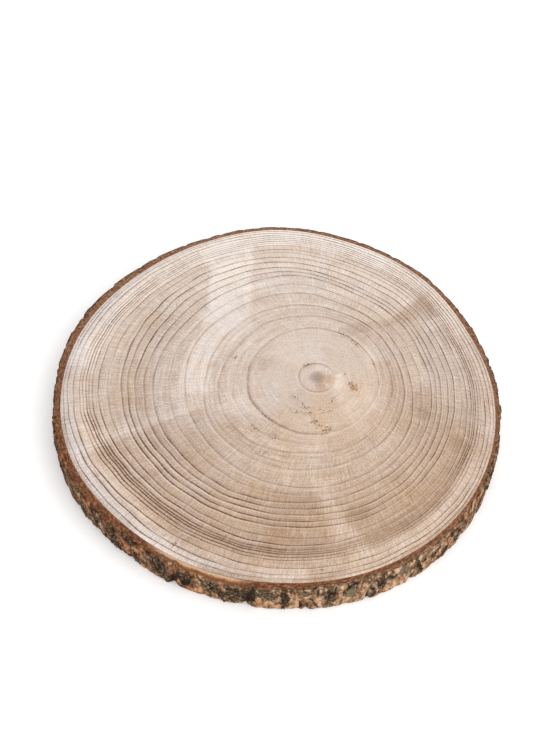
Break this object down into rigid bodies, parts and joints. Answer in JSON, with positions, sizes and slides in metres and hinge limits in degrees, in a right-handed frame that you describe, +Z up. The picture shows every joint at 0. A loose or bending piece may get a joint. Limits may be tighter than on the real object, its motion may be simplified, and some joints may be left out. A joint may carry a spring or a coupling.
{
  "type": "wood log slice",
  "caption": "Round slice of a tree trunk, sawn across the grain with flat sanded faces and its furrowed bark left on the rim.",
  "frame": {"origin": "middle of the slice's width and depth, on its underside", "axes": "+Z up, square to both sawn faces; -Y towards the front, where the bark's upper edge is chipped; +X to the right seen from the front"},
  "size_m": [0.2986, 0.3014, 0.025],
  "materials": {
    "wood": "end grain, sanded matt",
    "bark": "dry bark, rough"
  },
  "bodies": {
    "root": {"log_slice": "wood"}
  },
  "joints": []
}
